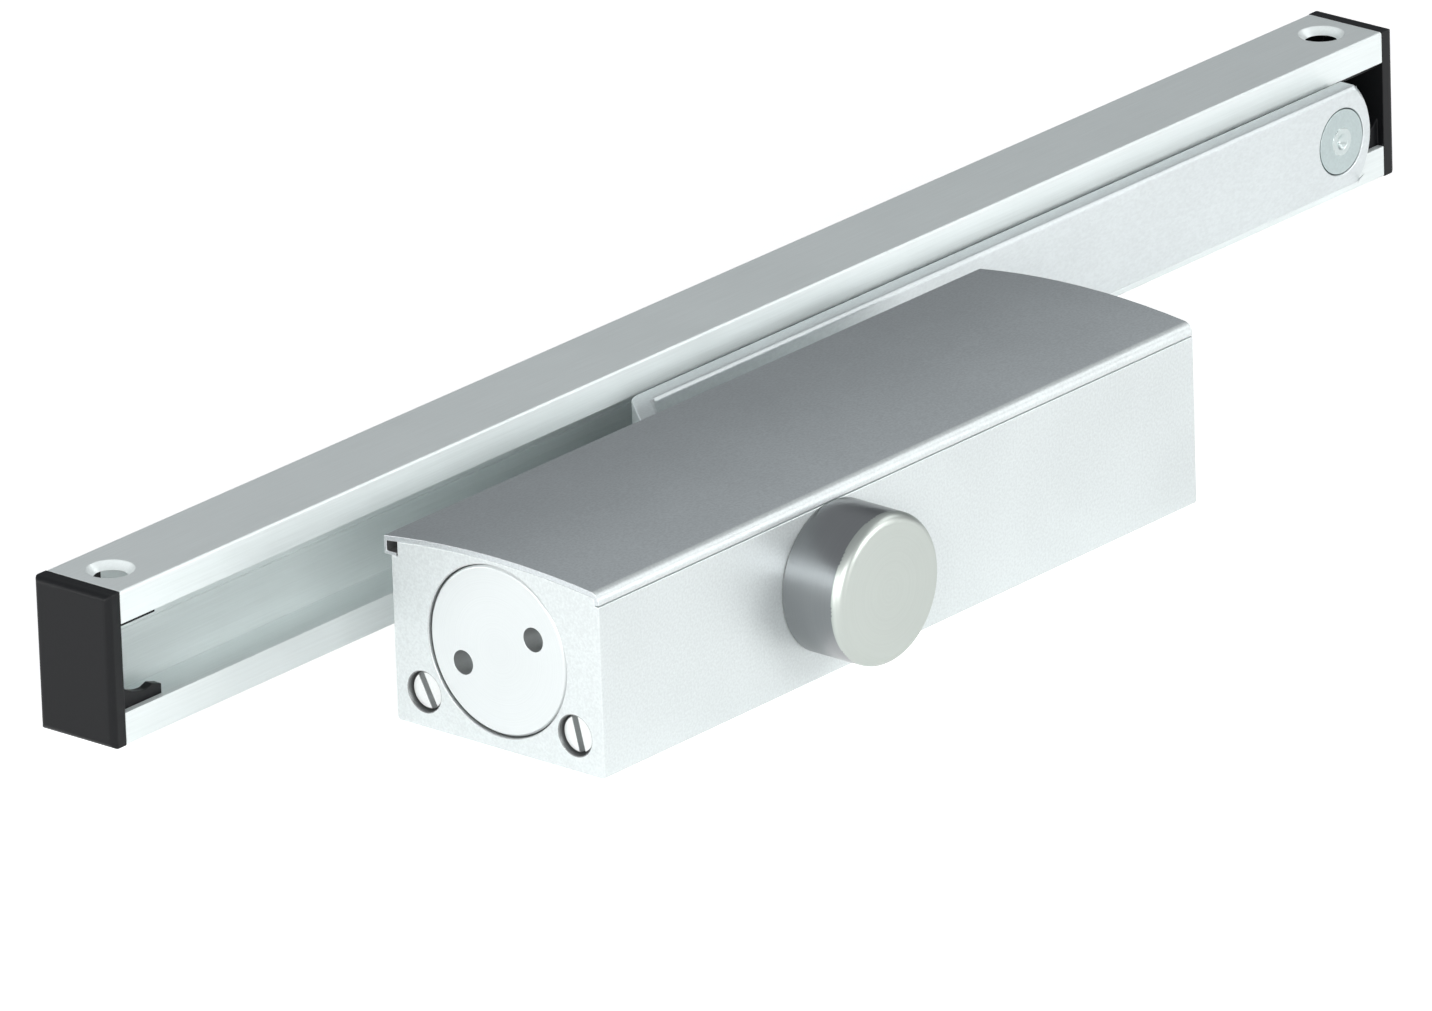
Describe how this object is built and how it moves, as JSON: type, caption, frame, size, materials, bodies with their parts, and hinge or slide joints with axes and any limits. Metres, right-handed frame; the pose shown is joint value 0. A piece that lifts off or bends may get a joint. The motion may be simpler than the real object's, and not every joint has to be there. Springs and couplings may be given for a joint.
{
  "type": "slide arm door closer",
  "caption": "Rack-and-pinion door closer body with adjusting valves, a cranked slide arm with its slider, and the channel track that the slider runs in.",
  "frame": {"origin": "centre of the body's four fixing holes on its mounting face", "axes": "+X along the body, from the valve end to the spring end; +Y along the spindle, towards the arm and the track; +Z away from the door"},
  "size_m": [0.4484, 0.1279, 0.0452],
  "materials": {
    "body_silver": "fine silver coating over die-cast aluminium",
    "cover_silver": "fine silver anodised sheet",
    "cap_satin": "satin nickel",
    "valve_steel": "turned, bright",
    "plain_steel": "ground",
    "spindle_steel": "hardened and ground",
    "spring_steel": "oiled spring steel",
    "arm_silver": "fine silver coating over steel bar",
    "zinc_steel": "zinc plated",
    "bush_brass": "sintered",
    "washer_plastic": "plain",
    "slider_plastic": "natural, smooth, low friction",
    "track_aluminium": "satin anodised extrusion",
    "cap_plastic": "moulded, slight sheen",
    "seal_rubber": "smooth"
  },
  "bodies": {
    "closer_body": {"housing": "body_silver", "cover": "cover_silver", "valve_end_plug": "body_silver", "spring_end_plug": "body_silver", "plug_seals": "seal_rubber", "spring_seat": "plain_steel", "main_spring": "spring_steel", "bearing_cups": "plain_steel", "bearing_needles": "plain_steel", "shaft_seals": "seal_rubber", "bearing_collars": "plain_steel", "spindle_cap": "cap_satin"},
    "arm_assembly": {"pinion_spindle": "spindle_steel", "arm": "arm_silver", "arm_washer": "zinc_steel", "arm_screw": "zinc_steel", "pin_bush": "bush_brass"},
    "piston_assembly": {"piston": "plain_steel", "check_valve_ball": "plain_steel", "check_valve_retainer": "plain_steel", "relief_valve_ball": "plain_steel", "relief_valve_screw": "plain_steel"},
    "closing_valve": {"closing_speed_valve": "valve_steel", "closing_valve_seal": "seal_rubber"},
    "latching_valve": {"latching_speed_valve": "valve_steel", "latching_valve_seal": "seal_rubber"},
    "slider": {"slide_pin": "zinc_steel", "pin_washer": "washer_plastic", "slider_block": "slider_plastic", "pin_circlip": "spring_steel"},
    "track_assembly": {"track": "track_aluminium", "left_end_cap": "cap_plastic", "right_end_cap": "cap_plastic"}
  },
  "joints": [
    {"name": "arm_swing", "type": "hinge", "parent": "closer_body", "child": "arm_assembly", "pos_m": [-0.024, 0, 0.023], "axis": [0, -1, 0], "range_deg": [0, 180], "stiffness_Nm_per_rad": 6, "springref_deg": -85.94},
    {"name": "piston_slide", "type": "slide", "parent": "closer_body", "child": "piston_assembly", "axis": [1, 0, 0], "range_m": [0, 0.0255], "deforming": ["main_spring"]},
    {"name": "closing_valve_turn", "type": "hinge", "parent": "closer_body", "child": "closing_valve", "pos_m": [-0.1, 0.0218, 0.0084], "axis": [-1, 0, 0], "range_deg": [-360, 360]},
    {"name": "latching_valve_turn", "type": "hinge", "parent": "closer_body", "child": "latching_valve", "pos_m": [-0.1, -0.0218, 0.0084], "axis": [-1, 0, 0], "range_deg": [-360, 360]},
    {"name": "slider_pivot", "type": "hinge", "parent": "arm_assembly", "child": "slider", "pos_m": [0.257, 0.06, 0.023], "axis": [0, -1, 0], "continuous": true},
    {"name": "track_slide", "type": "slide", "parent": "slider", "child": "track_assembly", "axis": [1, 0, 0], "range_m": [0, 0.389]}
  ],
  "couplings": [
    {"joint": "piston_slide", "follows": "arm_swing", "m_per_rad": 0.0081}
  ]
}
